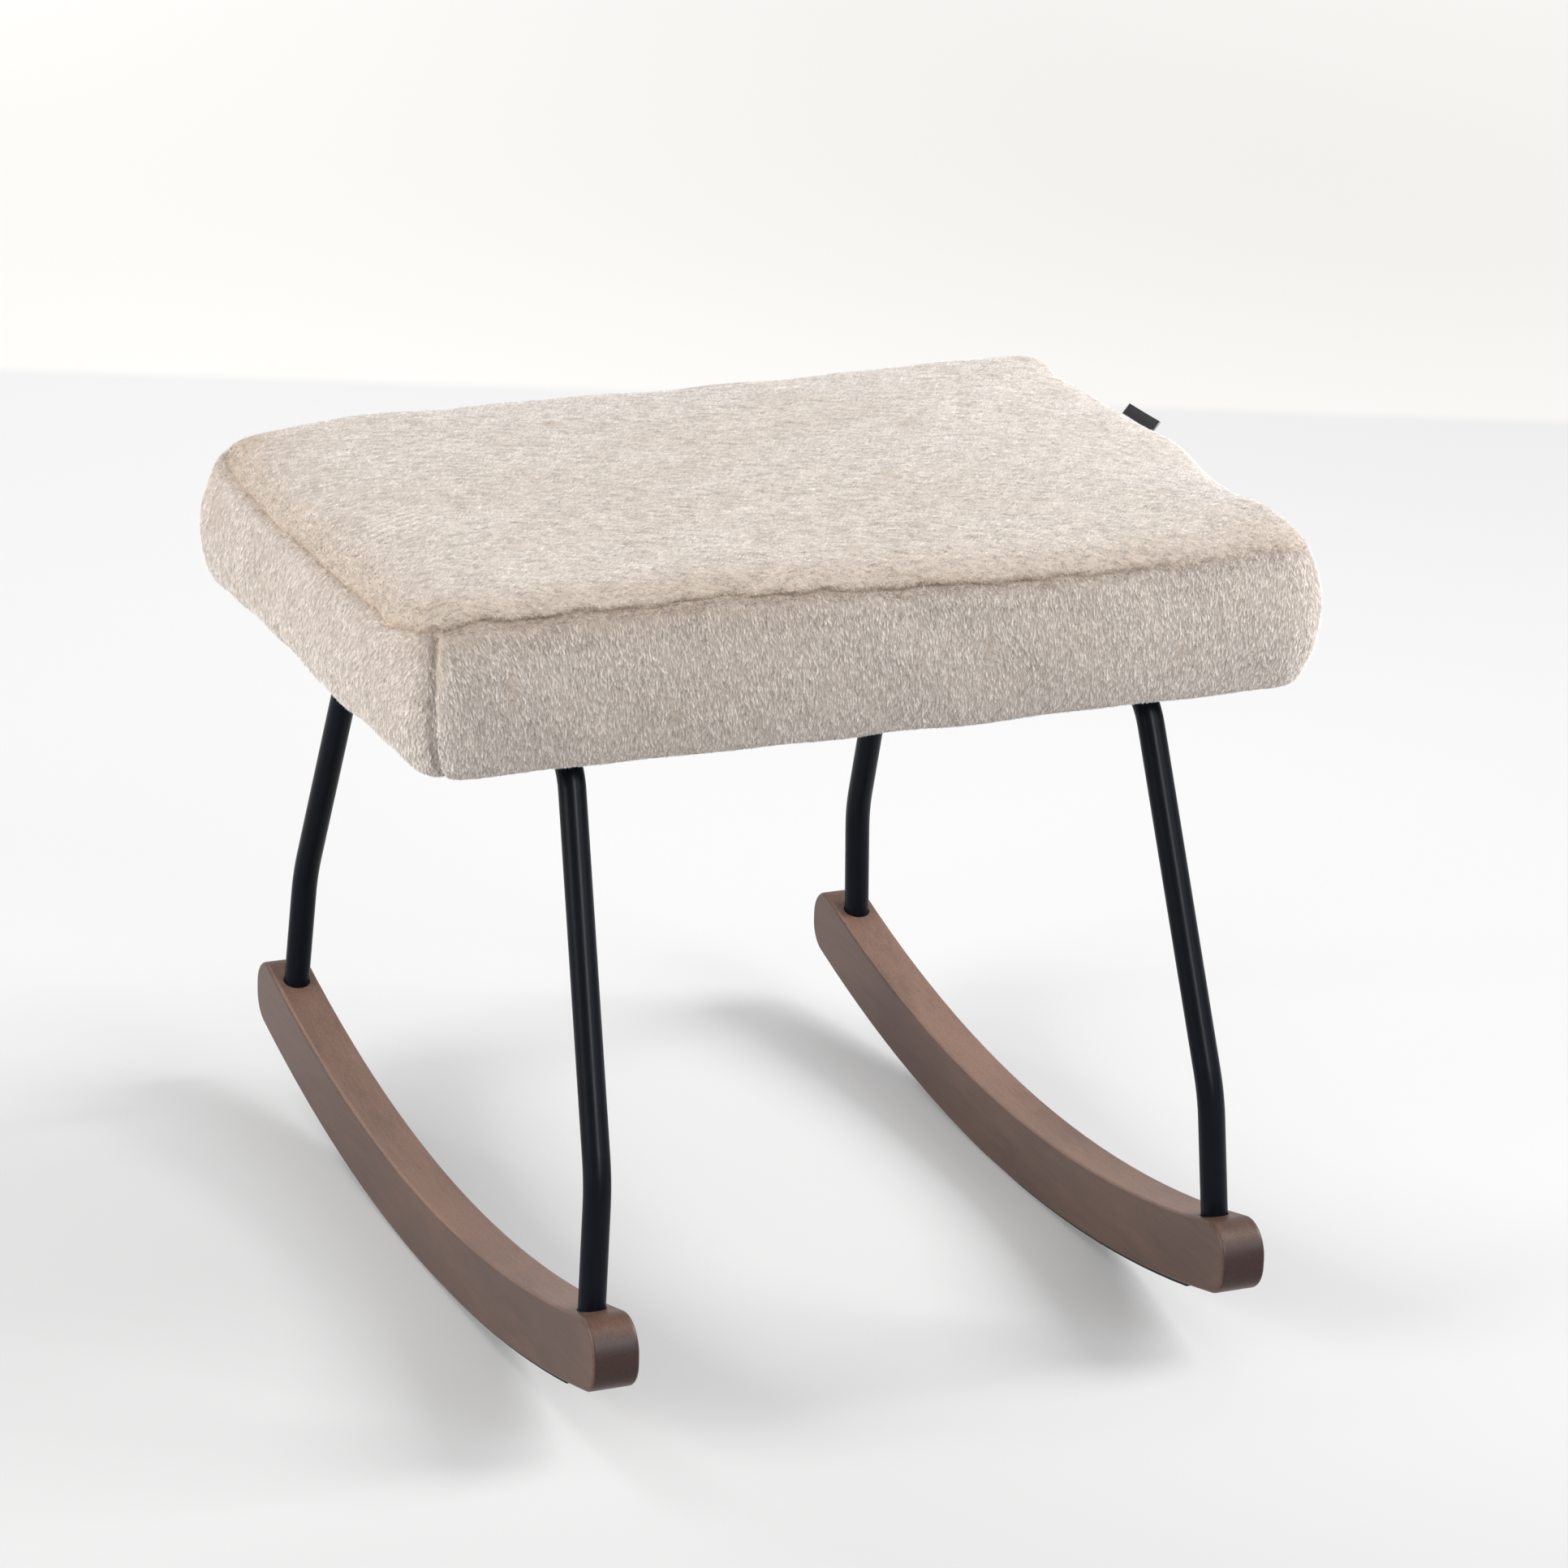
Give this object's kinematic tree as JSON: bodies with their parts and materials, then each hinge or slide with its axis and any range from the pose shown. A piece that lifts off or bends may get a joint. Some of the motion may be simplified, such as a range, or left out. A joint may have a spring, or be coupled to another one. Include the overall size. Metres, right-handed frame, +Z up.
{
  "type": "rocking footstool",
  "caption": "Low rectangular footstool with a fur covered cushion on two bent tube leg frames that stand in curved wooden rockers.",
  "frame": {"origin": "on the floor, under the middle of the stool", "axes": "+X along the cushion's long side to the right, -Y towards the front, +Z up, rockers along Y"},
  "size_m": [0.5804, 0.604, 0.487],
  "materials": {
    "stained_wood": "satin lacquer",
    "dark_strip": "matte",
    "black_tube": "satin powder coat",
    "zinc_steel": "zinc plated",
    "plywood": "raw",
    "dust_cloth": "non-woven cloth",
    "foam": "open cell foam",
    "wadding": "polyester wadding",
    "fur_top": "short faux fur",
    "fur_band": "short faux fur",
    "woven_tab": "woven tape"
  },
  "bodies": {
    "root": {"left_rocker": "stained_wood", "right_rocker": "stained_wood", "left_rocker_strip": "dark_strip", "right_rocker_strip": "dark_strip", "left_leg_frame": "black_tube", "right_leg_frame": "black_tube", "tube_end_plugs": "zinc_steel", "rocker_bolts": "zinc_steel", "rocker_washers": "zinc_steel", "seat_bolts": "zinc_steel", "flanged_nuts": "zinc_steel", "seat_board": "plywood", "dust_cover": "dust_cloth", "foam_core": "foam", "wadding": "wadding", "cover_top_panel": "fur_top", "cover_front_band": "fur_band", "cover_rear_band": "fur_band", "seam_tab": "woven_tab"}
  },
  "joints": []
}
